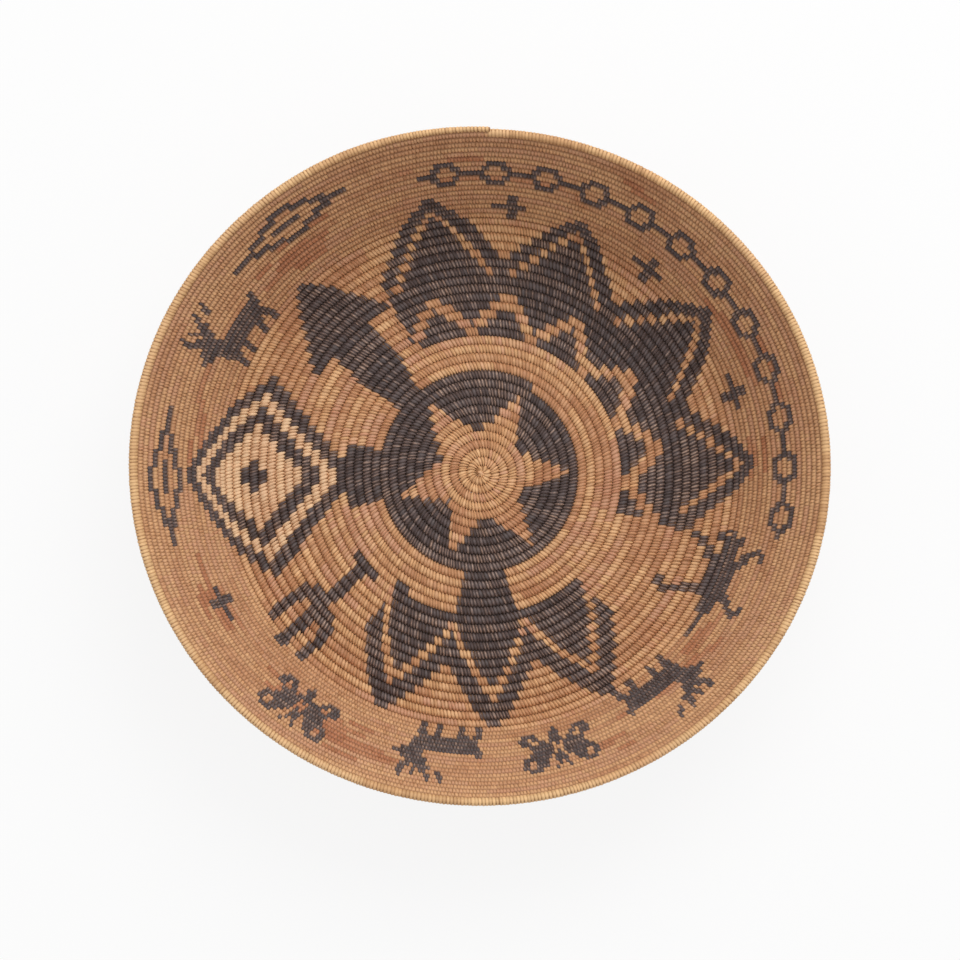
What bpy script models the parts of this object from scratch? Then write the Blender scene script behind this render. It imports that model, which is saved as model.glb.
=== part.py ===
"""A coiled bowl basket: one long grass bundle wound outwards from a knot and sewn round upon round.

Metres, +Z up. The origin lies under the middle of the basket, on the plane that its floor rests on.
The winding runs clockwise, seen from above: floor, turn, wall and rim are lengths of the same coil.
"""

import math

import bmesh
import bpy
import numpy as np

# Sizes of the coil
round_pitch = 0.0057
round_gap = 0.00053
coil_thickness = 0.0052
end_gap = 0.0003

# Sizes of the bowl, along the middle of the coil
floor_radius = 0.157
turn_radius = 0.016
wall_angle = math.radians(64)
wall_length = 0.1011
rim_end_angle = math.radians(88.5)
oval_share = 0.0155

# Sizes of the rim, whose bundle is wrapped by a separate layer of strands
rim_thickness = 0.006
strand_layer = 0.0006
bundle_gap = 0.0003
tail_length = 0.09
tail_tip_share = 0.3

# Rounds, counted from the centre, at which the sewing changes colour
knot_start_rounds = 0.6
knot_end_rounds = 1.6
star_end_rounds = 9
disc_end_rounds = 11.5
ring_end_rounds = 16
rounds_past_turn = 0.5
lower_wall_share = 0.36
middle_wall_share = 0.37

steps_per_round = 28

# Outlines of one round: shares of its half width along the wall and its half thickness through it
floor_section_shares = [(0, 1), (-1, 0.35), (-0.75, -1), (0.75, -1), (1, 0.35)]
wall_section_shares = [(0, 1), (-1, 0.45), (-1, -0.45), (0, -1), (1, -0.45), (1, 0.45)]

# Sewing colours: base colour and roughness
natural_strand = ((0.50, 0.30, 0.12), 0.6)
pale_strand = ((0.66, 0.46, 0.22), 0.6)
reddish_strand = ((0.30, 0.13, 0.05), 0.6)
dyed_strand = ((0.035, 0.026, 0.022), 0.5)
grass_bundle = ((0.55, 0.42, 0.22), 0.8)

# Worked out from the sizes above
half_width = (round_pitch - round_gap) / 2
half_thickness = coil_thickness / 2
rim_half_thickness = rim_thickness / 2
turn_length = turn_radius * wall_angle
floor_rounds = floor_radius / round_pitch
total_rounds = (floor_radius + turn_length + wall_length) / round_pitch
turn_section_shares = [
    (across * min(1, 1 - half_thickness * up / turn_radius), up) for across, up in wall_section_shares
]


def profile(slant):
    """Radius, height and tilt of the coil's middle, a given length of floor and wall from the centre."""
    if slant <= floor_radius:
        return slant, 0, 0
    tilt = min((slant - floor_radius) / turn_radius, wall_angle)
    radius = floor_radius + turn_radius * math.sin(tilt)
    height = turn_radius * (1 - math.cos(tilt))
    straight = max(slant - floor_radius - turn_length, 0)
    return radius + straight * math.cos(tilt), height + straight * math.sin(tilt), tilt


rim_height = profile(total_rounds * round_pitch)[1]


def corner_section(step, outline, width, thickness, shrink):
    """The outline of one round, standing in the upright plane of a corner of the winding."""
    rounds = step / steps_per_round
    radius, height, tilt = profile(rounds * round_pitch)
    angle = rim_end_angle + 2 * math.pi * (total_rounds - rounds)
    points = []
    for across_share, up_share in outline:
        across = width * (across_share * shrink - (1 - shrink))
        up = thickness * up_share * shrink
        out = radius + across * math.cos(tilt) - up * math.sin(tilt)
        rise = half_thickness + height + across * math.sin(tilt) + up * math.cos(tilt)
        warp = oval_share * height / rim_height
        x = out * math.cos(angle) * (1 + warp)
        y = out * math.sin(angle) * (1 - warp)
        points.append((x, y, rise))
    return np.array(points)


def section(rounds, outline, width, thickness, shrink=1):
    """The outline at any place: on the straight run between two corners, so that rounds nest."""
    step = math.floor(rounds * steps_per_round)
    share = rounds * steps_per_round - step
    first = corner_section(step, outline, width, thickness, shrink)
    second = corner_section(step + 1, outline, width, thickness, shrink)
    return first * (1 - share) + second * share


def rounds_of(length, rounds):
    """How much of a round a length along the coil is, at a given round."""
    return length / (2 * math.pi * profile(rounds * round_pitch)[0])


def stations(start, end):
    """Places along a length of coil: its two trimmed ends, and each corner between them."""
    first = start + rounds_of(end_gap / 2, start)
    last = end - rounds_of(end_gap / 2, end)
    corners = range(math.ceil(first * steps_per_round), math.floor(last * steps_per_round) + 1)
    between = [step / steps_per_round for step in corners]
    margin = rounds_of(end_gap, end)
    return [first] + [r for r in between if first + margin < r < last - margin] + [last]


def add_strip(mesh, rings):
    """The side faces between the rings of points that run along a tube, and their vertices."""
    rows = [[mesh.verts.new(point) for point in ring] for ring in rings]
    for row, following in zip(rows, rows[1:]):
        for k in range(len(row)):
            after = (k + 1) % len(row)
            mesh.faces.new((row[k], row[after], following[after], following[k]))
    return rows


def add_object(name, mesh, finish):
    """A named object from a finished mesh, with its own material."""
    colour, roughness = finish
    bmesh.ops.recalc_face_normals(mesh, faces=mesh.faces)
    data = bpy.data.meshes.new(name)
    mesh.to_mesh(data)
    mesh.free()
    data.shade_smooth()
    data.set_sharp_from_angle(angle=math.radians(80))
    material = bpy.data.materials.new(name)
    material.use_nodes = True
    shader = material.node_tree.nodes["Principled BSDF"]
    shader.inputs["Base Color"].default_value = (*colour, 1)
    shader.inputs["Roughness"].default_value = roughness
    data.materials.append(material)
    bpy.context.scene.collection.objects.link(bpy.data.objects.new(name, data))


def solid_coil(name, rings, finish):
    """A length of coil, closed by a face at each end."""
    mesh = bmesh.new()
    rows = add_strip(mesh, rings)
    mesh.faces.new(rows[0])
    mesh.faces.new(rows[-1])
    add_object(name, mesh, finish)


def hollow_coil(name, outer_rings, inner_rings, finish):
    """A layer of strands round a bundle: a tube that is open at both ends."""
    mesh = bmesh.new()
    outer = add_strip(mesh, outer_rings)
    inner = add_strip(mesh, inner_rings)
    for around, bore in ((outer[0], inner[0]), (outer[-1], inner[-1])):
        for k in range(len(around)):
            after = (k + 1) % len(around)
            mesh.faces.new((around[k], around[after], bore[after], bore[k]))
    add_object(name, mesh, finish)


def outline_points(ring, parts=8):
    """Points spread evenly along each side of an outline."""
    shares = np.arange(parts)[:, None] / parts
    sides = [a + (b - a) * shares for a, b in zip(ring, np.roll(ring, -1, axis=0))]
    return np.concatenate(sides)


def least_gap(start, end, outline):
    """The least gap between a length of coil and its own next round, measured on points."""
    least = math.inf
    for place in np.arange(start, end - 1, 0.5 / steps_per_round):
        inner = outline_points(section(place, outline, half_width, half_thickness))
        outer = outline_points(section(place + 1, outline, half_width, half_thickness))
        apart = np.linalg.norm(inner[:, None] - outer[None], axis=2)
        least = min(least, apart.min())
    return least * math.cos(math.pi / steps_per_round)


def make_coil(name, start, end, outline, finish):
    """One named length of the winding, as one unbroken tube."""
    rings = [section(r, outline, half_width, half_thickness) for r in stations(start, end)]
    solid_coil(name, rings, finish)
    if end - start > 1:
        gap = least_gap(start, end, outline)
        print(f"{name}: {end - start:.2f} rounds, least gap to itself {gap * 1000:.3f} mm")


def make_floor():
    """The knot and the four lengths of coil that lie flat."""
    turn_start = math.floor(floor_rounds * steps_per_round) / steps_per_round
    lengths = [
        ("start_knot", knot_start_rounds, knot_end_rounds, natural_strand),
        ("star_coil", knot_end_rounds, star_end_rounds, natural_strand),
        ("disc_coil", star_end_rounds, disc_end_rounds, dyed_strand),
        ("ring_coil", disc_end_rounds, ring_end_rounds, natural_strand),
        ("field_coil", ring_end_rounds, turn_start, dyed_strand),
    ]
    for name, start, end, finish in lengths:
        make_coil(name, start, end, floor_section_shares, finish)
    return turn_start


def make_wall(turn_start):
    """The turn from floor to wall, and the three lengths of the wall up to the rim."""
    turn_end = turn_start + turn_length / round_pitch + rounds_past_turn
    rim_start = total_rounds - 1
    lower_end = turn_end + lower_wall_share * (rim_start - turn_end)
    middle_end = lower_end + middle_wall_share * (rim_start - turn_end)
    lengths = [
        ("turn_coil", turn_start, turn_end, dyed_strand),
        ("lower_wall_coil", turn_end, lower_end, reddish_strand),
        ("middle_wall_coil", lower_end, middle_end, natural_strand),
        ("upper_wall_coil", middle_end, rim_start, natural_strand),
    ]
    for name, start, end, finish in lengths:
        outline = turn_section_shares if start == turn_start else wall_section_shares
        make_coil(name, start, end, outline, finish)
    return rim_start


def make_rim(rim_start):
    """The last round: its bundle, the strands wrapped round it, and the tail that tapers to its end."""
    outline = wall_section_shares
    tail_start = total_rounds - rounds_of(tail_length, total_rounds)
    places = stations(rim_start, tail_start)
    bore_width = half_width - strand_layer
    bore_thickness = rim_half_thickness - strand_layer
    around = [section(r, outline, half_width, rim_half_thickness) for r in places]
    bore = [section(r, outline, bore_width, bore_thickness) for r in places]
    hollow_coil("rim_sewing", around, bore, pale_strand)
    core_width = bore_width - bundle_gap
    core_thickness = bore_thickness - bundle_gap
    core = [section(r, outline, core_width, core_thickness) for r in places]
    solid_coil("rim_bundle", core, grass_bundle)
    tail = []
    for place in stations(tail_start, total_rounds):
        done = (place - tail_start) / (total_rounds - tail_start)
        shrink = 1 - done * (1 - tail_tip_share)
        tail.append(section(place, outline, half_width, rim_half_thickness, shrink))
    solid_coil("rim_end", tail, pale_strand)


def centre_basket():
    """Moves the whole basket so that the middle of its rim stands over the origin."""
    corners = [v.co for obj in bpy.context.scene.objects for v in obj.data.vertices]
    spread = np.array(corners)
    middle = (spread.min(axis=0) + spread.max(axis=0)) / 2
    for obj in bpy.context.scene.objects:
        for vertex in obj.data.vertices:
            vertex.co.x -= middle[0]
            vertex.co.y -= middle[1]
    size = spread.max(axis=0) - spread.min(axis=0)
    print("basket", " x ".join(f"{side * 1000:.1f}" for side in size), f"mm, {total_rounds:.2f} rounds")


def main():
    for obj in list(bpy.data.objects):
        bpy.data.objects.remove(obj)
    turn_start = make_floor()
    rim_start = make_wall(turn_start)
    make_rim(rim_start)
    centre_basket()


main()
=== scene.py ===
# %% [markdown]
# # A coiled basket with a picture sewn into it
#
# The real basket is one long rope of grass stalks, wound round and round from a knot in the middle
# of its floor. Every round is sewn to the one before with split strands: each strand goes over the
# new round and down between two strands of the old one. The picture isn't painted on. The maker
# changes to a strand of another colour, stitch by stitch, so every outline in it is a little stair.
#
# A bowl with an image or a striped bump on it would look right only from far away. Here each of the
# seventeen thousand stitches is a small closed strap of its own, set along the winding by the same
# rule that the maker follows.

# %% The frame: the solid model that this scene dresses
import math

import bpy
import numpy as np
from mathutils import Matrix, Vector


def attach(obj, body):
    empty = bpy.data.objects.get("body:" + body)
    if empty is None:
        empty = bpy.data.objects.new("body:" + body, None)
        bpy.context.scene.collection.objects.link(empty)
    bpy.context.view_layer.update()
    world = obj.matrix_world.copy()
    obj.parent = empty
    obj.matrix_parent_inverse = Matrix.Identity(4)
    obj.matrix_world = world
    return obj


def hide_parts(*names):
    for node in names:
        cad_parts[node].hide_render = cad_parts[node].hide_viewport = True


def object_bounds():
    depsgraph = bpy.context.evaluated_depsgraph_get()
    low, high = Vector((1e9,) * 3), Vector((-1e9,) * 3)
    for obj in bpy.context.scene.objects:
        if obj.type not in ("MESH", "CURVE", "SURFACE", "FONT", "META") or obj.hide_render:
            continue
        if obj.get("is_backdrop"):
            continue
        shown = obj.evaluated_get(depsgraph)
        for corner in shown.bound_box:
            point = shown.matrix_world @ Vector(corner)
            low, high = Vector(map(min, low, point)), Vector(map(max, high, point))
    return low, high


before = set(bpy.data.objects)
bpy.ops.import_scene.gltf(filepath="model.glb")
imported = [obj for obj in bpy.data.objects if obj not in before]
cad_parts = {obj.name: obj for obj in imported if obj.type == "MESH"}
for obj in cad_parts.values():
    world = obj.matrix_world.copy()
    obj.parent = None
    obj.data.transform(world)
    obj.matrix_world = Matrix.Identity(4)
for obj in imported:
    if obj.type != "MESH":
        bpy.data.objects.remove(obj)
solid_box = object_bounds()

# %% [markdown]
# ## The winding
#
# On the real object the coil lies flat for the floor, turns up through a short bend and then climbs
# a straight flaring wall. One could model the bowl as a turned shape and cut grooves into it, but a
# spiral has no closed rounds, and the eye notices that at once. So everything is placed by three
# numbers: the turn along the winding, the distance along floor and wall, and the height above the
# middle of that sheet. The sizes are those of the solid model, in metres, but the rim is a little
# slimmer and its tail a little fuller, as in the photograph.

# %% Sizes of the winding
round_pitch = 0.0057
floor_radius = 0.157
turn_radius = 0.016
wall_angle = math.radians(64)
wall_length = 0.1011
rim_end_angle = math.radians(88.5)
oval_share = 0.0155
coil_half = 0.0026
rim_half = 0.0027
tail_length = 0.09
tail_tip_share = 0.55
winding_centre = (-0.00067, -0.00057)

turn_length = turn_radius * wall_angle
total_turns = (floor_radius + turn_length + wall_length) / round_pitch
rim_start = total_turns - 1


def profile(slant):
    """Radius, height and tilt of the sheet, a given way from the centre along floor and wall."""
    tilt = np.clip((slant - floor_radius) / turn_radius, 0, wall_angle)
    straight = np.maximum(slant - floor_radius - turn_length, 0)
    flat = np.minimum(slant, floor_radius)
    radius = flat + turn_radius * np.sin(tilt) + straight * math.cos(wall_angle)
    height = turn_radius * (1 - np.cos(tilt)) + straight * math.sin(wall_angle)
    return radius, height, tilt


rim_height = profile(total_turns * round_pitch)[1]


def put(turns, slant, up):
    """Points in the room for places on the sheet. Nothing dips under the plane it stands on."""
    radius, height, tilt = profile(slant)
    out = radius - up * np.sin(tilt)
    rise = np.maximum(coil_half + height + up * np.cos(tilt), 0)
    angle = rim_end_angle + 2 * math.pi * (total_turns - turns)
    warp = oval_share * height / rim_height
    x = out * np.cos(angle) * (1 + warp) - winding_centre[0]
    y = out * np.sin(angle) * (1 - warp) - winding_centre[1]
    return np.stack([x, y, rise], axis=-1)


def azimuth(turns):
    """Degrees round the basket, anticlockwise from the right, from -180 to 180."""
    degrees = math.degrees(rim_end_angle) + 360 * (total_turns - turns)
    return (degrees + 180) % 360 - 180


def round_length(turns):
    """Length of one round of the coil at a place on the winding."""
    return 2 * math.pi * float(profile(turns * round_pitch)[0])


print(f"winding: {total_turns:.2f} rounds, rim {rim_height * 1000:.1f} mm above the floor coil")

# %% [markdown]
# ## Where the stitches go
#
# Each new strand is poked between two strands of the round before, so the stitches of neighbouring
# rounds interlock like bricks. Even spacing alone would let them drift in and out of step and run
# into each other. The loop below follows the maker instead: it takes the gaps of the old round one
# by one, and whenever the stitches have spread wider than the gauge it puts two into one gap. A
# short running average then eases the neighbours apart, as pulled strands do.

# %% Placing the stitches
stitch_gauge = 0.0022
floor_lean = 0.0017
wall_lean = 0.0006
centre_gauge_share = 0.86
centre_rounds = 12
first_stitch = 0.42
free_turns = 2.2
easing = 2
end_margin = 0.0006
owed_most = 0.5
closest_share = 0.4
# where new stitches stand between two of the round before
one_in_gap = (0.5,)
two_in_gap = (0.3, 0.8)

chance = np.random.default_rng(48)


def wall_share(turns):
    """Nought on the floor, one on the wall, and in between on the turn."""
    return np.clip((turns * round_pitch - floor_radius) / turn_length, 0, 1)


def centre_share(turns):
    """One at the very middle, and nought from the edge of the disc on."""
    return np.clip(1 - turns / centre_rounds, 0, 1)


def gauge_at(turns):
    """Width that a stitch should have: the first rounds are sewn with finer strands."""
    return stitch_gauge * (1 - (1 - centre_gauge_share) * centre_share(turns))


def lean_at(turns):
    """How far the outer end of a stitch lies back along the coil, compared with its inner end."""
    return floor_lean + (wall_lean - floor_lean) * wall_share(turns)


def place_stitches():
    """Turns at which the stitches cross the coil, each set between two of the round before."""
    raw = []
    place = first_stitch
    while place < free_turns:
        raw.append(place)
        place += gauge_at(place) / round_length(place)
    eased = list(raw)
    gap = int(np.searchsorted(raw, free_turns - 1)) - 1
    owed = 0.0
    while raw[-1] < total_turns - end_margin:
        left, right = eased[gap], eased[gap + 1]
        lean = lean_at(1 + left) / round_length(1 + left)
        wanted = gauge_at(1 + left) / round_length(1 + left)
        owed += (right - left) / wanted - 1
        shares = one_in_gap
        if owed > owed_most:
            shares = two_in_gap
            owed -= 1
        for share in shares:
            place = 1 + left + share * (right - left) - lean
            if place > raw[-1] + closest_share * wanted:
                raw.append(place)
                first = max(len(raw) - 1 - 2 * easing, 0)
                if len(raw) > len(eased) + easing:
                    eased.append(sum(raw[first:]) / (len(raw) - first))
        gap += 1
    eased += raw[len(eased):]
    return np.array([place for place in eased if place < total_turns - end_margin])


stitches = place_stitches()
spacing = np.gradient(stitches)
radii = profile(stitches * round_pitch)[0]
widths = spacing * 2 * math.pi * radii
print(f"stitches: {len(stitches)}, {widths.min() * 1000:.2f} to {widths.max() * 1000:.2f} mm apart")

# %% [markdown]
# ## The picture
#
# A maker plans such a picture as a chart: a row for each round, a mark for each stitch. Here it is
# a landscape seen all round. A star stands in the middle on a dark disc with a pale ring. Outside
# the ring come a mountain range under a chain of small diamonds, one great diamond, an arrowhead
# and a zigzag, with small figures between them. The large forms come from a few corners. The small
# figures are charts of text, where a hash is a dark stitch and an o a natural one. An image wrapped
# on the bowl would be the other way, but it would cut stitches in half.

# %% Charts of the small figures
deer = """
       #       #   #
      ##  #   ##  ##
      ##  ## ##  ##
       ### #####
        ######
      ########
    #########
      #######               ##
        ######################
         ####################
         ###################
          ##################
          ###  ##     ### ###
          ##   ##     ##   ##
          ##   ##     ##   ##
"""
cactus = """
          ####
   ###    ####
   ###    ####    ###
   ###    ####    ###
   ###    ####    ###
   ####   ####    ###
    ##########   ####
      ##############
          ########
          ####
          ####
          ####
          ####
          ####
       ##########
"""
butterfly = """
   ####    #   #    ####
  ##oo###   # #   ###oo##
  ##oo####  ###  ####oo##
   ########o###o########
     #######o#o#######
      ######ooo######
     #######o#o#######
   ###oo## ##### ##oo###
   ###o##   ###   ##o###
    ####    ###    ####
             #
"""
lizard = """
     ###              ###
    ##                  ##
     ##                ##
      ###            ###
       ####        ####
  ###    #############
 #o########################
####################################
 #o########################
  ###    #############
       ####        ####
      ###            ###
     ##                ##
    ##                  ##
     ###              ###
"""
stepped_band = """
                    ########
               ######      ######
          ######                ######
  #########       ##########       #########
          ######                ######
               ######      ######
                    ########
"""
cross = """
     ###
     ###
###########
     ###
     ###
"""

# %% Where the figures stand
# chart, degrees round the basket, round of the lowest row, mirrored or not
figures = [
    (deer, 152, 30, False),
    (deer, 260, 30, True),
    (deer, 311, 30, False),
    (cactus, 221, 17, False),
    (butterfly, 234, 34, False),
    (butterfly, 286, 32, False),
    (lizard, 334, 24, False),
    (stepped_band, 181, 39, True),
    (stepped_band, 129, 39, False),
    (cross, 208, 35, False),
    *[(cross, degrees, 30, False) for degrees in (18, 51, 84)],
]


def read_chart(text, mirrored):
    """Rows of marks, the outermost round first, all as long as the longest."""
    rows = text.strip("\n").split("\n")
    width = max(len(row) for row in rows)
    rows = [row.ljust(width) for row in rows]
    return [row[::-1] for row in rows] if mirrored else rows


def turn_at(degrees, rounds):
    """The place on the winding nearest to a number of rounds, at an angle round the basket."""
    offset = (math.degrees(rim_end_angle) - degrees) / 360 + total_turns
    return offset + round(rounds - offset)


charts = []
for text, degrees, lowest, mirrored in figures:
    charts.append((read_chart(text, mirrored), degrees, turn_at(degrees, lowest)))
print(f"small figures: {len(charts)}")

# %% Finding a stitch in a chart
def angle_between(first, second):
    """Degrees from the second angle to the first, by the shorter way."""
    return (first - second + 180) % 360 - 180


def length_from(turns, degrees, centre):
    """Metres along the round from a centre line to a stitch."""
    return math.radians(angle_between(degrees, centre)) * round_length(turns) / (2 * math.pi)


def figure_mark(turns, degrees):
    """The mark that a small figure has at a stitch, or a blank."""
    for rows, centre, lowest in charts:
        row = len(rows) - 1 - round(turns - lowest)
        if not 0 <= row < len(rows):
            continue
        column = math.floor(-length_from(turns, degrees, centre) / stitch_gauge + len(rows[row]) / 2)
        if 0 <= column < len(rows[row]) and rows[row][column] != " ":
            return rows[row][column]
    return " "


# %% The star, its disc and the ring
star_points = (1, 63, 127, 196, 249, 305)
star_tip = 10.2
star_notch = 4.8
disc_edge = 11.5
ring_edge = 16
ring_arcs = [(-76, 126), (142, 167), (195, 260)]


def in_star(turns, degrees):
    """Whether a stitch lies inside the straight edges of the star."""
    for point, following in zip(star_points, star_points[1:] + (star_points[0] + 360,)):
        span = following - point
        share = ((degrees - point) % 360) / span
        if share <= 1:
            half = math.radians(span / 2)
            from_tip = half * (1 - abs(share - 0.5) * 2)
            slope = star_tip * math.sin(from_tip) + star_notch * math.sin(half - from_tip)
            return turns < star_tip * star_notch * math.sin(half) / slope
    return False


def centre_mark(turns, degrees):
    """Star, disc and ring, from the middle out to the edge of the ring."""
    if turns < disc_edge:
        return "o" if in_star(turns, degrees) else "#"
    if turns < ring_edge:
        inside = any((degrees - first) % 360 < last - first for first, last in ring_arcs)
        return "o" if inside else "#"
    return " "


print(f"star: {len(star_points)} points, {star_tip * round_pitch * 2000:.0f} mm across")

# %% The mountain range
range_from, range_to = -16, 118
foot_rounds = 8
foot_line_lowest = 1
foot_line_rise = 4
foot_line_half = 0.9
foot_line_span = 12.18
# centre in degrees, height above the foot in rounds, half width at the foot in rounds' widths
peaks = [(2, 10, 7.6), (35, 12, 8.0), (68, 10, 7.8), (101, 12, 8.2)]
peak_line = (2.2, 3.1)
peak_line_top = 0.75


def range_mark(turns, degrees):
    """A foot with a pale zigzag, and stepped peaks with a pale line inside their edge."""
    around = (degrees - range_from) % 360
    row = round(turns - turn_at((range_from + range_to) / 2, ring_edge))
    if around > range_to - range_from or row < 0:
        return " "
    if row < foot_rounds:
        wave = abs((around / foot_line_span) % 2 - 1)
        from_line = abs(row - foot_line_lowest - foot_line_rise * wave)
        return "o" if from_line < foot_line_half else "#"
    for centre, height, half_breadth in peaks:
        share = (row - foot_rounds) / height
        from_centre = abs(length_from(turns, degrees, centre)) / round_pitch
        inside = half_breadth * (1 - share) - from_centre
        if inside > 0:
            on_line = peak_line[0] < inside < peak_line[1] and share < peak_line_top
            return "o" if on_line else "#"
    return " "


# %% The great diamond and the arrowhead
# centre in degrees, middle round, half breadth and half height in rounds
great_diamond = (181, 26, 12, 12)
diamond_lines = ((0.68, 0.83), (0.16, 0.5))
arrow_centre = 134
arrow_shaft = 2.8
arrow_neck = 22
arrow_half_breadth = 6
arrow_length = 9


def diamond_mark(turns, degrees):
    """A diamond that stands on its corner, with pale diamonds drawn inside it."""
    centre, middle, half_breadth, half_rounds = great_diamond
    reach = abs(length_from(turns, degrees, centre)) / round_pitch / half_breadth
    reach += abs(round(turns - turn_at(centre, middle))) / half_rounds
    if reach > 1:
        return " "
    return "p" if any(low < reach < high for low, high in diamond_lines) else "#"


def arrow_mark(turns, degrees):
    """A shaft that leaves the disc, and its stepped head."""
    row = round(turns - turn_at(arrow_centre, arrow_neck))
    from_centre = abs(length_from(turns, degrees, arrow_centre)) / round_pitch
    in_shaft = row < 0 and from_centre < arrow_shaft
    in_head = row >= 0 and from_centre < arrow_half_breadth * (1 - row / arrow_length)
    return "#" if in_shaft or in_head else " "


# %% The zigzag and the chain
zigzag_from, zigzag_to = 233, 313
zigzag_span = 13.33
zigzag_foot = 1
zigzag_rise = 8
zigzag_band = (1.6, 5)
chain_from, chain_to = -14, 102
chain_lowest = 38
chain_cells = 12
chain = (
    "   #####    ",
    "  ##   ##   ",
    "###     ####",
    "  ##   ##   ",
    "   #####    ",
)


def zigzag_mark(turns, degrees):
    """Dark teeth that stand on the ring, and a dark band that follows them."""
    around = (degrees - zigzag_from) % 360
    if around > zigzag_to - zigzag_from:
        return " "
    row = turns - turn_at((zigzag_from + zigzag_to) / 2, ring_edge)
    above = row - zigzag_foot - zigzag_rise * (1 - abs((around / zigzag_span) % 2 - 1))
    return "#" if above < 0 or zigzag_band[0] < above < zigzag_band[1] else " "


def chain_mark(turns, degrees):
    """The small diamonds of the chain, joined by short bars."""
    around = (degrees - chain_from) % 360
    row = round(turns - turn_at((chain_from + chain_to) / 2, chain_lowest))
    if around > chain_to - chain_from or not 0 <= row < len(chain):
        return " "
    share = (around / (chain_to - chain_from) * chain_cells) % 1
    return chain[row][int(share * len(chain[row]))]


# %% The whole picture
layers = (centre_mark, figure_mark, range_mark, diamond_mark, arrow_mark, zigzag_mark, chain_mark)


def sewn_mark(turns, degrees):
    """Dark, natural or pale, for one stitch of the whole picture."""
    for layer in layers:
        mark = layer(turns, degrees)
        if mark != " ":
            return mark
    return "o"


# %% [markdown]
# ## Which strand each stitch is sewn with
#
# A strand lasts for some twenty stitches, and then the maker tucks it in and takes a new one. That
# is why the real surface shows short runs of one tone, some yellow, some pink, some brown, and why
# a run stops dead instead of fading. Noise over the surface can't do that. So the runs are counted
# out along the winding, and a few patches in the wall get short runs of red-brown strands.

# %% Strands and their runs
natural, dyed, reddish, pale = range(4)
strand_names = ("natural", "dyed", "reddish", "pale")
plain_from = 46.2
# degrees round the basket, middle round, half width in degrees, half height in rounds
red_patches = [
    (135, 36, 9, 4), (33, 37, 9, 4), (246, 40, 9, 4), (172, 36, 7, 3), (212, 38, 7, 3),
    (325, 36, 7, 4), (297, 41, 6, 3), (8, 34, 5, 3), (64, 43, 7, 2), (100, 41, 6, 2),
]
red_most = 0.8
red_edge = 0.1
# least and most stitches sewn with one strand
long_run = (9, 30)
short_run = (4, 14)


def red_share(turns, degrees):
    """How likely a new natural strand is to be a red-brown one, at a place in the basket."""
    share = 0.0
    for centre, middle, half_degrees, half_rounds in red_patches:
        across = angle_between(degrees, centre) / half_degrees
        along = (turns - middle) / half_rounds
        share = max(share, red_most * math.exp(-((across**2 + along**2) ** 2)))
    return share


def choose_strands():
    """Kind of strand and tone of its run, for every stitch."""
    kinds = np.zeros(len(stitches), int)
    tones = np.zeros(len(stitches))
    left = {natural: 0, dyed: 0, pale: 0}
    tone = {natural: 0.5, dyed: 0.5, pale: 0.5}
    red_run = False
    for i, turns in enumerate(stitches):
        degrees = float(azimuth(turns))
        mark = sewn_mark(turns, degrees) if turns < plain_from else "o"
        kind = {"#": dyed, "p": pale, "o": natural}[mark]
        if turns >= rim_start:
            kind = pale
        if left[kind] <= 0:
            share = red_share(turns, degrees) if kind == natural else 0.0
            left[kind] = chance.integers(*(short_run if share > red_edge else long_run))
            tone[kind] = chance.random()
            if kind == natural:
                red_run = chance.random() < share
        left[kind] -= 1
        kinds[i] = reddish if kind == natural and red_run else kind
        tones[i] = tone[kind]
    return kinds, tones


kinds, tones = choose_strands()
for number, name in enumerate(strand_names):
    print(f"{name}: {np.count_nonzero(kinds == number)} stitches")

# %% [markdown]
# ## One stitch
#
# A split strand is flat and slightly crowned, about two millimetres wide. It leaves the round below
# in a narrow tip between two older stitches, widens over the crown of the coil, narrows again at the
# outer groove and comes back underneath. It could be a curve with a bevel, but seventeen thousand
# curves are slow and all alike. So one loop of stations is written down once, as shares of the coil's
# half width and half height, and arrays set it out for all stitches at the same time. Each station
# has a left edge, a crown and a right edge, and the loop closes inside the coil.

# %% Stations of the loop: across, up, and half the strand's width on floor and wall, all as shares
stations = np.array([
    (-1.32, 0.36, 0.24, 0.24), (-1.13, 0.42, 0.44, 0.44), (-0.93, 0.53, 0.64, 0.68),
    (-0.62, 0.83, 0.84, 0.88), (-0.20, 1.03, 0.92, 0.92), (0.22, 1.03, 0.91, 0.92),
    (0.57, 0.85, 0.82, 0.91), (0.81, 0.56, 0.64, 0.86), (0.98, 0.05, 0.48, 0.74),
    (0.81, -0.56, 0.62, 0.84), (0.50, -0.88, 0.84, 0.90), (-0.05, -1.03, 0.92, 0.92),
    (-0.60, -0.84, 0.86, 0.88), (-0.95, -0.50, 0.62, 0.64), (-1.30, -0.36, 0.26, 0.26),
])
out_share, up_share, floor_wide, wall_wide = stations.T
loop_count = len(stations)
half_width = round_pitch / 2
bundle_half = 0.0022
strand_thickness = 0.00046
edge_drop = 0.00014
centre_tip_lift = 0.5
tip_from = -0.9
innermost_slant = 0.0002
# how much stitches differ: shares of height, lean, width and thickness, and a sideways shift
height_spread = 0.02
lean_spread = 0.12
width_spread = 0.07
thickness_spread = 0.14
shift_spread = 0.00006
# how the strands differ on the wall and on the rim
wall_thinning = 0.1
wall_edge_easing = 0.35
rim_edge_share = 0.1
rim_width_share = 1.04


def loop_normals():
    """Outward direction of the loop at each station, across and up."""
    path = stations[:, :2] * (half_width, bundle_half)
    ahead = np.roll(path, -1, axis=0) - np.roll(path, 1, axis=0)
    ahead /= np.linalg.norm(ahead, axis=1)[:, None]
    return -ahead[:, 1], ahead[:, 0]


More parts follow.
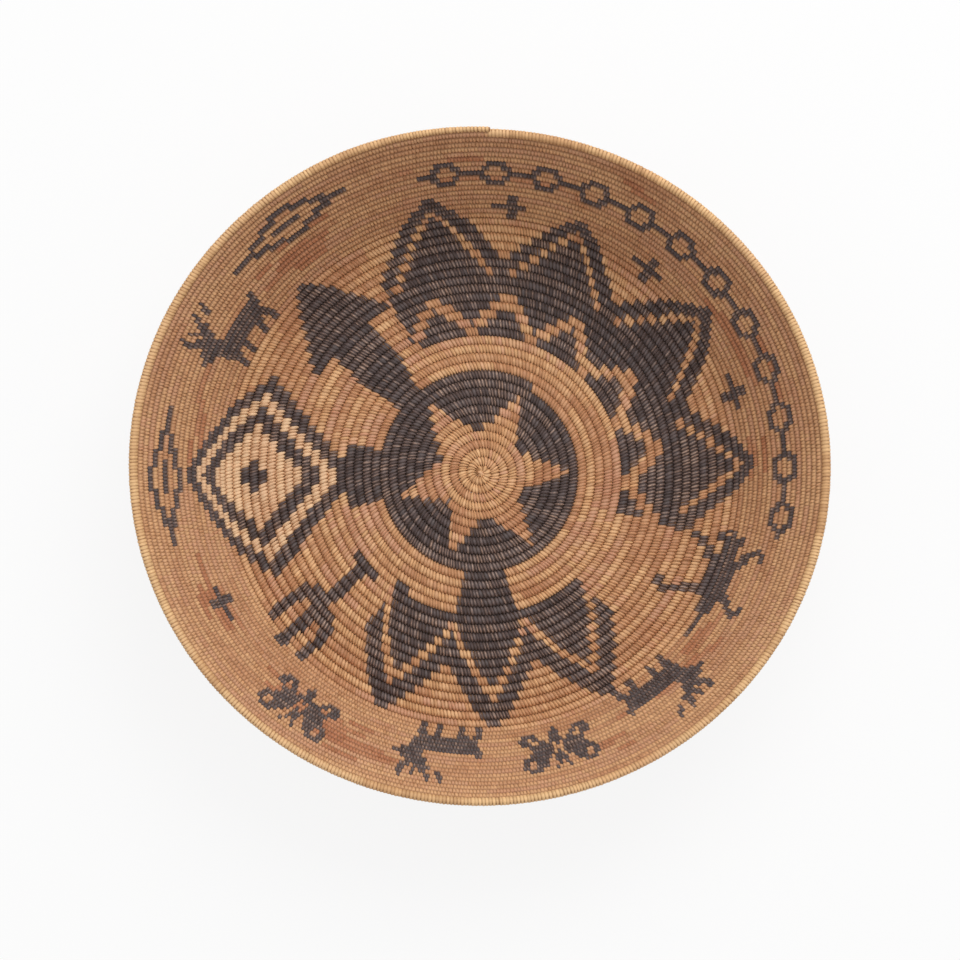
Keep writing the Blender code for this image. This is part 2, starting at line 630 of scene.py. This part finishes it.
# %% Setting the loop out for many stitches
def end_taper(turns, around):
    """Share of its full width that the coil has: all of it, except along the tail."""
    left_over = np.clip((total_turns - turns) * around / tail_length, 0, 1)
    return tail_tip_share + (1 - tail_tip_share) * left_over


def rope_half(turns):
    """Half the thickness of the bundle inside the strands."""
    return np.where(turns >= rim_start, rim_half - strand_thickness, bundle_half)


def strap_points(chosen):
    """Corner points of the chosen stitches: stitch, station, then left edge, crown, right edge."""
    turns = stitches[chosen][:, None]
    around = 2 * math.pi * radii[chosen][:, None]
    is_rim = turns >= rim_start
    steep = wall_share(turns)
    shrink = end_taper(turns, around)
    draw = chance.normal(size=(5, len(chosen), 1))
    across = out_share * half_width
    tapered = -half_width + (across + half_width) * shrink
    across = np.where(across > -half_width, tapered, across)
    up = up_share * rope_half(turns) * (1 + height_spread * draw[0])
    is_tip = out_share < tip_from
    tip = up_share * bundle_half * (1 + centre_tip_lift * centre_share(turns))
    up = np.where(is_tip, tip, up * np.where(is_rim, shrink, 1))
    lean = lean_at(turns) * (1 + lean_spread * draw[1])
    shift = -lean * (out_share / 2) / around + shift_spread * draw[2] / around
    share = floor_wide * (1 - steep) + wall_wide * steep
    share = np.where(is_rim & ~is_tip, rim_width_share, share)
    wide = spacing[chosen][:, None] / 2 * share * (1 + width_spread * draw[3])
    thick = strand_thickness * (1 + thickness_spread * draw[4]) * (1 - wall_thinning * steep)
    edge = -edge_drop * np.where(is_rim, rim_edge_share, 1 - wall_edge_easing * steep)
    out_normal, up_normal = loop_normals()
    points = []
    for side, lift in ((-1, edge), (0, thick), (1, edge)):
        slant = turns * round_pitch + across + out_normal * lift
        slant = np.maximum(slant, innermost_slant)
        points.append(put(turns + shift + side * wide, slant, up + up_normal * lift))
    return np.stack(points, axis=2)


print(f"one stitch: {loop_count} stations, {loop_count * 6} triangles")

# %% [markdown]
# ## From arrays to meshes
#
# Every stitch has the same corners and faces, so the face table of one stitch, repeated with an
# offset, serves for a whole piece. Numbers for the shader go on the points: where a point lies
# across and along its strand, how near the groove, the tone of its run and a chance of its own.
# Each stitch also gets a small cell of its own in the flat map, so that nothing there overlaps.

# %% Building a piece from many stitches
map_name = "OFBake"
crease_angle = math.radians(62)
cell_slimness = 4.2
cell_margin = 0.03
# left and right of the two shown halves of a strap and of its hidden inside, as shares of a cell
side_places = [(0.06, 0.46), (0.46, 0.86), (0.86, 0.94)]


def add_mesh(name, points, faces, uvs, numbers):
    """A piece from plain arrays of points, four-cornered faces, map corners and point numbers."""
    mesh = bpy.data.meshes.new(name)
    mesh.vertices.add(len(points))
    mesh.vertices.foreach_set("co", points.astype(np.float32).ravel())
    mesh.loops.add(faces.size)
    mesh.loops.foreach_set("vertex_index", faces.astype(np.int32).ravel())
    mesh.polygons.add(len(faces))
    mesh.polygons.foreach_set("loop_start", np.arange(0, faces.size, 4, dtype=np.int32))
    mesh.update(calc_edges=True)
    mesh.validate()
    layer = mesh.uv_layers.new(name=map_name)
    layer.uv.foreach_set("vector", uvs.astype(np.float32).ravel())
    for label, values in numbers.items():
        attribute = mesh.attributes.new(label, "FLOAT", "POINT")
        attribute.data.foreach_set("value", values.astype(np.float32).ravel())
    mesh.shade_smooth()
    mesh.set_sharp_from_angle(angle=crease_angle)
    piece = bpy.data.objects.new(name, mesh)
    bpy.context.scene.collection.objects.link(piece)
    return piece


def strap_faces(count):
    """Four-cornered faces of so many straps, with outward sides."""
    faces = []
    for k in range(loop_count):
        after = (k + 1) % loop_count
        for side in range(3):
            beside = (side + 1) % 3
            faces.append((3 * k + side, 3 * after + side, 3 * after + beside, 3 * k + beside))
    one = np.array(faces)[:, ::-1]
    return (one[None] + 3 * loop_count * np.arange(count)[:, None, None]).reshape(-1, 4)


def part_edges(number, parts, margin):
    """Where a numbered part of a cell begins and ends, inside the margins of the cell."""
    return [margin + (1 - 2 * margin) * (number + step) / parts for step in (0, 1)]


def strap_uvs(count):
    """Map corners: each strap has a narrow upright cell, with a sliver for its hidden inside."""
    columns = math.ceil(math.sqrt(count * cell_slimness))
    rows = math.ceil(count / columns)
    corners = []
    for k in range(loop_count):
        low, high = part_edges(k, loop_count, cell_margin)
        for near, far in side_places:
            corners.append([(near, low), (near, high), (far, high), (far, low)][::-1])
    one = np.array(corners)
    number = np.arange(count)
    corner = np.stack([number % columns, number // columns], axis=1)[:, None, None, :]
    return (one[None] + corner) / (columns, rows)


def strap_numbers(count, side, reach, tone, calm):
    """What the shader needs to know at every point of every strap, with a chance for each strap."""
    numbers = {
        "across": side * np.array([-1.0, 0.0, 1.0]),
        "along": np.arange(loop_count)[None, :, None] / loop_count,
        "reach": reach,
        "tone": tone,
        "own": chance.random(count)[:, None, None],
        "calm": calm,
    }
    shape = (count, loop_count, 3)
    return {label: np.broadcast_to(values, shape) for label, values in numbers.items()}


# %% Sewing one piece
# how much more or less of the groove's painted shade and dust shows, how much of the edges' painted
# shade shows, how close natural runs lie in tone
wall_reach = 0.48
centre_reach = 0.25
rim_crown_reach = 0.4
wall_side_share = 0.88
wall_calm = 0.4


def sew(name, chosen, material):
    """One piece made of the chosen stitches."""
    points = strap_points(chosen)
    count = len(chosen)
    steep = wall_share(stitches[chosen]) * (stitches[chosen] < rim_start)
    widened = 1 + wall_reach * steep - centre_reach * centre_share(stitches[chosen])
    crown = (stitches[chosen] >= rim_start)[:, None] & (out_share > 0)
    reach = np.abs(out_share) * np.where(crown, rim_crown_reach, widened[:, None])
    side = 1 - (1 - wall_side_share) * steep[:, None, None]
    tone = tones[chosen][:, None, None]
    calm = (wall_calm * steep * (kinds[chosen] == natural))[:, None, None]
    numbers = strap_numbers(count, side, reach[:, :, None], tone, calm)
    piece = add_mesh(name, points.reshape(-1, 3), strap_faces(count), strap_uvs(count), numbers)
    piece.data.materials.append(material)
    print(f"{name}: {count} stitches, {count * loop_count * 6} triangles")
    return piece


# %% [markdown]
# ## Writing shaders as sums
#
# The finishes are node graphs, and a graph of forty links is hard to read. A small wrapper round a
# socket lets them be written as sums and products instead, and one method adds any other node.

# %% A socket that can be reckoned with
class Wire:
    """One output of a shader node. Plus, minus and times add the Math nodes of a sum."""

    def __init__(self, tree, socket=None):
        self.tree = tree
        self.socket = socket

    def node(self, kind, settings=None, sockets=None, output=0):
        """Any shader node: first its settings, then values or wires for its sockets."""
        made = self.tree.nodes.new("ShaderNode" + kind)
        for name, value in (settings or {}).items():
            if name == "stops":
                set_stops(made.color_ramp, value)
            else:
                setattr(made, name, value)
        for name, value in (sockets or {}).items():
            if isinstance(value, Wire):
                self.tree.links.new(value.socket, made.inputs[name])
            else:
                made.inputs[name].default_value = value
        return Wire(self.tree, made.outputs[output])

    def math(self, operation, first, second=0.0):
        return self.node("Math", {"operation": operation}, {0: first, 1: second})

    def __add__(self, other):
        return self.math("ADD", self, other)

    __radd__ = __add__

    def __sub__(self, other):
        return self.math("SUBTRACT", self, other)

    def __rsub__(self, other):
        return self.math("SUBTRACT", other, self)

    def __mul__(self, other):
        return self.math("MULTIPLY", self, other)

    __rmul__ = __mul__

    def step(self, low, high, depth=1.0):
        """Nought below the low mark, the whole depth above the high one, smooth between them."""
        marks = {"Value": self, "From Min": low, "From Max": high, "To Max": depth}
        return self.node("MapRange", {"interpolation_type": "SMOOTHSTEP"}, marks)


def set_stops(ramp, stops):
    """Places and screen colours of a colour ramp, which starts with two stops of its own."""
    while len(ramp.elements) < len(stops):
        ramp.elements.new(0.5)
    for element, (place, *colour) in zip(ramp.elements, stops):
        element.position = place
        element.color = paint(*colour)


def paint(red, green, blue):
    """A colour written as it looks on a screen, from 0 to 255, turned into light."""
    shares = [value / 255 for value in (red, green, blue)]
    light = [s / 12.92 if s <= 0.04045 else ((s + 0.055) / 1.055) ** 2.4 for s in shares]
    return (*light, 1)


def mix(wire, factor, first, second, kind="MIX"):
    """Two colours mixed by a factor, or multiplied and the like."""
    settings = {"data_type": "RGBA", "blend_type": kind}
    return wire.node("Mix", settings, {0: factor, 6: first, 7: second}, output=2)


# %% [markdown]
# ## The strands
#
# Split stems are satin, not glossy. They show fine fibres along their length. Their edges, where two
# strands touch, are painted darker as shade, and the groove where the next round grips them is
# painted darker for dust and for shade. A picture of fibres would repeat, so the fibres are a noise
# that is squeezed across the strand and drawn out along it, and each strand starts at a place of its
# own in that noise. The dyed strands have lost colour on their crowns in some runs, which is what
# makes the dark fields of an old basket glimmer pink.

# %% What the finishes share
strand_sheen = 0.38
fibre_relief = 0.0002
fibre_strength = 0.35
fibres_across = 1.6
fibres_along = 5.0
own_offset = 91.0
run_offset = 37.0
fibre_noise = {"Scale": 2.2, "Detail": 4.0, "Roughness": 0.62}


def carried(start, label):
    """A number that the points of a piece carry."""
    return start.node("Attribute", {"attribute_name": label}, output=2)


def strand_wires(tree):
    """Wires for how far a point lies to a side and outwards, tone, chance, and the fibre noise."""
    start = Wire(tree)
    labels = ("across", "along", "reach", "tone", "own")
    across, along, reach, tone, own = (carried(start, label) for label in labels)
    depth = own * own_offset + tone * run_offset
    place = {"X": across * fibres_across, "Y": along * fibres_along, "Z": depth}
    vector = start.node("CombineXYZ", None, place)
    fibre = start.node("TexNoise", None, {"Vector": vector, **fibre_noise})
    return start, across.math("ABSOLUTE", across), reach, tone, own, fibre


def finish_strand(tree, colour, roughness, relief, strength=fibre_strength):
    """Joins colour, roughness and fine relief to the shader."""
    shader = tree.nodes["Principled BSDF"]
    shader.inputs["Specular IOR Level"].default_value = strand_sheen
    tree.links.new(colour.socket, shader.inputs["Base Color"])
    tree.links.new(roughness.socket, shader.inputs["Roughness"])
    bump = {"Height": relief, "Strength": strength, "Distance": fibre_relief}
    tree.links.new(relief.node("Bump", None, bump).socket, shader.inputs["Normal"])


def new_material(name):
    """An empty material with a shader, and its node tree."""
    material = bpy.data.materials.new(name)
    material.use_nodes = True
    return material, material.node_tree


# %% Natural, reddish and pale strands
# where something starts and ends, and with a third number how deep it goes
run_share = 0.82
light_fibre = (0.3, 0.72)
plain_light, fibre_light, own_light = 0.78, 0.22, 0.13
cloud_noise = {"Scale": 34.0, "Detail": 3.0}
cloud = (0.52, 0.7, 0.4)
cloud_tint = paint(238, 222, 214)
calm_tint = paint(216, 163, 119)
# painted shade at a strand's edges, and painted shade and dust in its groove
stem_edge, edge_shade = (0.3, 1.05), 0.1
stem_groove, groove_shade_and_dust = (0.68, 1.16), 0.16
stem_roughness, stem_polish = 0.66, 0.14


def split_stem(name, stops, shade_and_dust_colour, shade_and_dust=0.38):
    """A natural, reddish or pale split stem, with a tone for each run."""
    material, tree = new_material(name)
    start, side, reach, tone, own, fibre = strand_wires(tree)
    shown_tone = tone * run_share + own * (1 - run_share)
    base = start.node("ValToRGB", {"stops": stops}, {"Fac": shown_tone})
    base = mix(start, carried(start, "calm"), base, calm_tint)
    fine = fibre.step(*light_fibre)
    shade = plain_light + fine * fibre_light + own * own_light
    grey = start.node("CombineColor", None, {0: shade, 1: shade, 2: shade})
    lit = mix(start, 1.0, base, grey, "MULTIPLY")
    where = start.node("TexCoord", output=3)
    clouds = start.node("TexNoise", None, {"Vector": where, **cloud_noise})
    clouded = mix(start, 1.0, lit, cloud_tint, "MULTIPLY")
    lit = mix(start, clouds.step(*cloud), lit, clouded)
    # the edges darken with painted shade, the groove with painted shade and dust
    edge = side.step(*stem_edge, shade_and_dust + edge_shade)
    groove = reach.step(*stem_groove, shade_and_dust + groove_shade_and_dust)
    colour = mix(start, edge.math("MAXIMUM", edge, groove), lit, shade_and_dust_colour)
    finish_strand(tree, colour, stem_roughness - fine * stem_polish, fibre)
    return material


# %% Dyed strands
dyed_stops = [(0.0, 76, 67, 67), (0.35, 90, 77, 76), (0.7, 103, 86, 82), (1.0, 122, 99, 88)]
rubbed_colour = paint(190, 160, 140)
# dark colour of the painted shade at the edges and the painted shade and dust in the groove
dyed_shade_and_dust = paint(44, 35, 32)
dyed_run_share = 0.45
# rubbed are the middle of a strand, away from the groove, light fibres, some runs, some strands
beside_crown, near_groove, rubbed_fibre = (0.05, 0.58), (0.5, 1.0), (0.42, 0.58)
rubbed_run, rubbed_own = (0.4, 0.9, 0.45), (0.5, 0.95, 0.5)
rubbed_least, rubbed_depth = 0.06, 1.55
# painted shade at the edges, and painted shade and dust in the groove
dyed_edge, dyed_groove = (0.4, 1.0, 0.5), (0.72, 1.14, 0.48)
dyed_roughness, dyed_polish = 0.6, 0.12


def dyed_stem(name):
    """A dyed strand: slate, with crowns that are rubbed back to a dull pink here and there."""
    material, tree = new_material(name)
    start, side, reach, tone, own, fibre = strand_wires(tree)
    shown_tone = tone * dyed_run_share + own * (1 - dyed_run_share)
    base = start.node("ValToRGB", {"stops": dyed_stops}, {"Fac": shown_tone})
    crown = 1 - side.step(*beside_crown)
    open_part = 1 - reach.step(*near_groove)
    share = tone.step(*rubbed_run) + own.step(*rubbed_own) + rubbed_least
    rubbed = fibre.step(*rubbed_fibre) * crown * open_part * share * rubbed_depth
    worn = mix(start, rubbed, base, rubbed_colour)
    # the edges darken with painted shade, the groove with painted shade and dust
    edge = side.step(*dyed_edge)
    groove = reach.step(*dyed_groove)
    colour = mix(start, edge.math("MAXIMUM", edge, groove), worn, dyed_shade_and_dust)
    finish_strand(tree, colour, dyed_roughness - fibre * dyed_polish, fibre)
    return material


# %% The finishes of the strands
# the last colour of each finish is the painted shade of its edges and the painted shade and dust of
# its groove
natural_finish = split_stem(
    "natural_stem",
    [(0.0, 197, 140, 103), (0.24, 215, 161, 119), (0.48, 228, 178, 130),
     (0.66, 240, 191, 140), (0.82, 219, 166, 132), (1.0, 204, 149, 117)],
    paint(128, 84, 54),
)
reddish_finish = split_stem(
    "reddish_stem",
    [(0.0, 192, 128, 92), (0.5, 203, 140, 101), (1.0, 212, 153, 114)],
    paint(110, 66, 42),
)
pale_finish = split_stem(
    "pale_stem",
    [(0.0, 228, 183, 144), (0.5, 247, 208, 165), (1.0, 238, 195, 156)],
    paint(190, 146, 112),
    shade_and_dust=0.3,
)
rim_finish = split_stem(
    "rim_stem",
    [(0.0, 210, 161, 112), (0.5, 240, 196, 142), (1.0, 226, 179, 131)],
    paint(160, 112, 74),
    shade_and_dust=0.6,
)
dyed_finish = dyed_stem("dyed_stem")

# %% [markdown]
# ## The grass bundle
#
# Between the stitches one sees a little of the rope they hold. It is a tube that follows the
# winding, flattened where rounds press on each other. Under the dyed strands it is painted dark:
# partly the dye and dust that have gone into the real grass, partly painted shade for the deep gaps
# between the strands.

# %% The bundle that the strands go round
bundle_corners = 10
# faces that close the end of a tube of ten corners
cap_faces = [(0, 1, 2, 3), (0, 3, 4, 9), (4, 5, 6, 9), (6, 7, 8, 9)]
bundle_step = 0.0045
fewest_rings = 14
squareness = 1.8
bundle_breadth = 1.03
bundle_depth = 0.99
innermost_bundle = 0.0001


def bundle_rings(start, end):
    """Places along the winding for the rings of a length of bundle."""
    places = [start]
    while places[-1] < end:
        places.append(places[-1] + min(bundle_step / round_length(places[-1]), 1 / fewest_rings))
    places[-1] = end
    return np.array(places)


def lay_bundle(name, start, end, material):
    """A closed tube along a length of the winding."""
    places = bundle_rings(start, end)[:, None]
    turn = 2 * math.pi * np.arange(bundle_corners) / bundle_corners
    cosine, sine = np.cos(turn), np.sin(turn)
    across = np.sign(cosine) * np.abs(cosine) ** (2 / squareness)
    up = np.sign(sine) * np.abs(sine) ** (2 / squareness)
    around = 2 * math.pi * profile(places * round_pitch)[0]
    shrink = end_taper(places, around)
    sideways = (across * shrink - (1 - shrink)) * half_width * bundle_breadth
    slant = np.maximum(places * round_pitch + sideways, innermost_bundle)
    points = put(places, slant, up * rope_half(places) * shrink * bundle_depth)
    count = len(places)
    ring = np.arange(bundle_corners)
    after = (ring + 1) % bundle_corners
    one = np.stack([ring, after, after + bundle_corners, ring + bundle_corners], axis=1)
    faces = (one[None] + bundle_corners * np.arange(count - 1)[:, None, None]).reshape(-1, 4)
    cap = np.array(cap_faces)
    faces = np.concatenate([faces, cap[:, ::-1], cap + bundle_corners * (count - 1)])
    nearest = np.clip(np.searchsorted(stitches, places[:, 0]), 0, len(stitches) - 1)
    # where dyed strands lie above, the bundle is painted dark, as stain and as painted shade
    stain = np.repeat((kinds[nearest] == dyed).astype(float), bundle_corners)
    length = np.repeat(np.cumsum(np.gradient(places[:, 0]) * around[:, 0]), bundle_corners)
    numbers = {"stain": stain, "along": length, "across": np.tile(turn, count)}
    piece = add_mesh(name, points.reshape(-1, 3), faces, bundle_uvs(count), numbers)
    piece.data.materials.append(material)
    print(f"{name}: {end - start:.2f} rounds, {2 * len(faces)} triangles")
    return piece


# %% The bundle's flat map
strip_rings = 12
strip_slimness = 1.2
strip_margin = 0.02
cap_side = 0.1


def bundle_uvs(count):
    """Map corners of a tube that is cut into short strips, stacked in a grid."""
    strips = math.ceil(count / strip_rings) + 1
    columns = math.ceil(math.sqrt(strips / strip_slimness))
    rows = math.ceil(strips / columns)
    strip, place = np.divmod(np.arange(count - 1)[:, None], strip_rings)
    edges = part_edges(place, strip_rings, strip_margin)
    edges += part_edges(np.arange(bundle_corners), bundle_corners, strip_margin)
    low, high, near, far = np.broadcast_arrays(*edges)
    us = np.stack([near, far, far, near], axis=-1) + (strip % columns)[:, :, None]
    vs = np.stack([low, low, high, high], axis=-1) + (strip // columns)[:, :, None]
    body = np.stack([us / columns, vs / rows], axis=-1).reshape(-1, 4, 2)
    row, column = divmod(strips - 1, columns)
    corner = cap_side * np.array([(1, 1), (2, 1), (2, 2), (1, 2)])
    caps = []
    for k in range(2 * len(cap_faces)):
        caps.append((corner + (column + cap_side * k, row)) / (columns, rows))
    return np.concatenate([body, np.array(caps)])


# %% The bundle's finish
grass_stops = [(0.25, 134, 92, 58), (0.5, 160, 114, 74), (0.75, 184, 138, 94)]
stalks_across = 3.0
stalks_along = 60.0
stalk_noise = {"Scale": 2.0, "Detail": 3.0}
# dark of the dye stain and of the painted shade in the deep gaps under dyed strands
stain_and_shade_colour = paint(36, 29, 27)
stain_and_shade_depth = 0.9
grass_roughness, stalk_polish, stalk_strength = 0.85, 0.1, 0.6


def grass(name):
    """Stalks side by side along the coil, darkened under the dyed strands by stain and painted shade.
    """
    material, tree = new_material(name)
    start = Wire(tree)
    along, across, stain = (carried(start, label) for label in ("along", "across", "stain"))
    place = {"X": across * stalks_across, "Y": along * stalks_along}
    vector = start.node("CombineXYZ", None, place)
    stalks = start.node("TexNoise", None, {"Vector": vector, **stalk_noise})
    colour = start.node("ValToRGB", {"stops": grass_stops}, {"Fac": stalks})
    # stain and painted shade under the dyed strands
    dark = mix(start, stain * stain_and_shade_depth, colour, stain_and_shade_colour)
    finish_strand(tree, dark, grass_roughness - stalks * stalk_polish, stalks, stalk_strength)
    return material


grass_finish = grass("grass_bundle")

# %% [markdown]
# ## Sewing the basket
#
# The winding is sewn in lengths. They match the lengths of the solid model where the work changes,
# and each colour of strand is a piece of its own, because a strand is what a maker would replace.

# %% The lengths of winding, and what each replaces in the solid model
turn_start = 27.536
rounds_past_turn = 0.5
turn_end = turn_start + turn_length / round_pitch + rounds_past_turn
tail_start = total_turns - tail_length / round_length(total_turns)
# rounds at which the dyed strands of the field and the natural ones of the wall are parted
field_middle = 22
lower_end, middle_end, high_end = 36, 40.2, 43.9

lengths = [
    ("star_natural", natural, 0, disc_edge, ("start_knot", "star_coil")),
    ("disc_dyed", dyed, 0, ring_edge, ("disc_coil",)),
    ("ring_natural", natural, disc_edge, ring_edge, ("ring_coil",)),
    ("field_natural", natural, ring_edge, turn_start, ("field_coil",)),
    ("field_dyed_inner", dyed, ring_edge, field_middle, ("field_coil",)),
    ("field_dyed_outer", dyed, field_middle, turn_start, ("field_coil",)),
    ("field_pale", pale, 0, rim_start, ("field_coil", "turn_coil")),
    ("turn_natural", natural, turn_start, turn_end, ("turn_coil",)),
    ("turn_dyed", dyed, turn_start, turn_end, ("turn_coil",)),
    ("lower_wall_natural", natural, turn_end, lower_end, ("lower_wall_coil",)),
    ("middle_wall_natural", natural, lower_end, middle_end, ("middle_wall_coil",)),
    ("high_wall_natural", natural, middle_end, high_end, ("middle_wall_coil",)),
    ("upper_wall_natural", natural, high_end, rim_start, ("upper_wall_coil",)),
    ("wall_dyed", dyed, turn_end, rim_start, ("lower_wall_coil", "middle_wall_coil")),
    ("wall_reddish", reddish, 0, rim_start, ("lower_wall_coil", "middle_wall_coil")),
    ("rim_pale", pale, rim_start, tail_start, ("rim_sewing",)),
    ("rim_tail_pale", pale, tail_start, total_turns, ("rim_end",)),
]
finishes = (natural_finish, dyed_finish, reddish_finish, pale_finish)

# %% The knot in the middle
# degrees at which its strands cross, then their measures, with each a little higher than the last
knot_crossings = (8, 52, 101, 149)
knot_half_length = 0.0031
knot_half_height, knot_rise = 0.0019, 0.00022
knot_half_width, knot_tip_share = 0.00085, 0.45
knot_crown = 1.18
knot_tones = (0.3, 0.7)


def tie_knot(name, material):
    """A few short strands crossed over the very middle, where the winding starts."""
    turn = 2 * math.pi * np.arange(loop_count) / loop_count
    count = len(knot_crossings)
    along = knot_half_length * np.cos(turn)
    wide = knot_half_width * (knot_tip_share + (1 - knot_tip_share) * np.abs(np.sin(turn)))
    points = []
    for number, lie in enumerate(np.radians(knot_crossings)):
        up = (knot_half_height + knot_rise * number) * np.sin(turn)
        strap = []
        for side, lift in ((-1, 1.0), (0, knot_crown), (1, 1.0)):
            x = along * np.cos(lie) - side * wide * np.sin(lie)
            y = along * np.sin(lie) + side * wide * np.cos(lie)
            rise = np.maximum(coil_half + up * lift, 0)
            strap.append(np.stack([x - winding_centre[0], y - winding_centre[1], rise], axis=1))
        points.append(np.stack(strap, axis=1))
    tone = np.linspace(*knot_tones, count)[:, None, None]
    numbers = strap_numbers(count, side=1, reach=0, tone=tone, calm=0)
    faces = strap_faces(count)[:, ::-1]
    piece = add_mesh(name, np.array(points).reshape(-1, 3), faces, strap_uvs(count), numbers)
    piece.data.materials.append(material)
    return piece


knot = tie_knot("start_knot_strands", natural_finish)
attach(knot, "root")
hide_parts("start_knot")

# %% Sewing every length
for name, kind, start, end, nodes in lengths:
    inside = (kinds == kind) & (stitches >= start) & (stitches < end)
    finish = rim_finish if start >= rim_start else finishes[kind]
    piece = sew(name, np.nonzero(inside)[0], finish)
    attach(piece, "root")
    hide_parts(*nodes)

# %% The lengths of bundle
bundle_start = 0.04
bundles = [
    ("floor_bundle", bundle_start, turn_start, ("star_coil", "field_coil")),
    ("wall_bundle", turn_start, rim_start, ("turn_coil", "lower_wall_coil")),
    ("rim_bundle_grass", rim_start, total_turns, ("rim_bundle",)),
]
for name, start, end, nodes in bundles:
    piece = lay_bundle(name, start, end, grass_finish)
    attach(piece, "root")
    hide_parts(*nodes)

# %% [markdown]
# ## Floor, light and camera
#
# The basket was shown on plain white, seen from almost straight above, with one large soft light
# from the far side and pale surroundings. A lamp strong enough to burn the floor white would bleach
# the strands too. So the floor and the world are white only to the camera, and the light on the
# basket stays at a plain level.

# %% White for the camera alone
white = (1, 1, 1, 1)
rays = ("Is Camera Ray", "Is Glossy Ray", "Is Transmission Ray")


def white_to_camera(tree, plain, seen_share):
    """A plain shader mixed with white for the camera, also in a reflection or through glass."""
    start = Wire(tree)
    direct, glossy, through = (start.node("LightPath", output=ray) for ray in rays)
    seen = direct.math("MAXIMUM", direct.math("MAXIMUM", direct, glossy), through)
    glow = start.node("Emission", None, {"Color": white})
    return start.node("MixShader", None, {0: seen * seen_share, 1: plain, 2: glow}).socket


# %% A wide pale floor that the basket stands on
floor_glow_share = 0.86
bpy.ops.mesh.primitive_plane_add(size=12)
floor = bpy.context.object
floor.name = "floor"
floor_finish, tree = new_material("pale_floor")
shader = tree.nodes["Principled BSDF"]
shader.inputs["Base Color"].default_value = (0.86, 0.86, 0.86, 1)
shader.inputs["Roughness"].default_value = 0.9
shown = white_to_camera(tree, Wire(tree, shader.outputs[0]), floor_glow_share)
tree.links.new(shown, tree.nodes["Material Output"].inputs["Surface"])
floor.data.materials.append(floor_finish)
floor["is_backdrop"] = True

# %% Soft light from all round
room = bpy.data.worlds.new("pale_room")
bpy.context.scene.world = room
room.use_nodes = True
tree = room.node_tree
light = tree.nodes["Background"]
light.inputs["Color"].default_value = white
light.inputs["Strength"].default_value = 0.62
shown = white_to_camera(tree, Wire(tree, light.outputs[0]), 1.0)
tree.links.new(shown, tree.nodes["World Output"].inputs["Surface"])

# %% One square soft lamp that looks at the basket
lamp_turn, lamp_lift = math.radians(71), math.radians(50)
lamp_distance = 2.4
lamp_data = bpy.data.lights.new("key_lamp", "AREA")
lamp_data.size = 1.6
lamp_data.energy = 32
lamp = bpy.data.objects.new("key_lamp", lamp_data)
lamp.location = (
    lamp_distance * math.cos(lamp_lift) * math.cos(lamp_turn),
    lamp_distance * math.cos(lamp_lift) * math.sin(lamp_turn),
    lamp_distance * math.sin(lamp_lift),
)
lamp.rotation_euler = (math.pi / 2 - lamp_lift, 0, lamp_turn + math.pi / 2)
bpy.context.scene.collection.objects.link(lamp)

# %% Camera
camera_elevation = math.radians(86.5)
camera_distance = 2.21
frame_pixels = 960
raised_pixels = 15
camera_data = bpy.data.cameras.new("camera")
camera_data.lens = 132
camera_data.shift_y = -raised_pixels / frame_pixels
camera = bpy.data.objects.new("camera", camera_data)
bpy.context.scene.collection.objects.link(camera)
bpy.context.scene.camera = camera
target_height = 0.1
camera.location = (
    0,
    -camera_distance * math.cos(camera_elevation),
    target_height + camera_distance * math.sin(camera_elevation),
)
camera.rotation_euler = (math.pi / 2 - camera_elevation, 0, 0)
bpy.context.scene.view_settings.view_transform = "Standard"

# %% Sizes, and the end
dressed_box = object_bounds()
sizes = {
    "solid": [list(corner) for corner in solid_box],
    "dressed": [list(corner) for corner in dressed_box],
}
for label, corners in sizes.items():
    spans = [1000 * (high - low) for low, high in zip(*corners)]
    print(label, " x ".join(f"{span:.1f}" for span in spans), "mm")
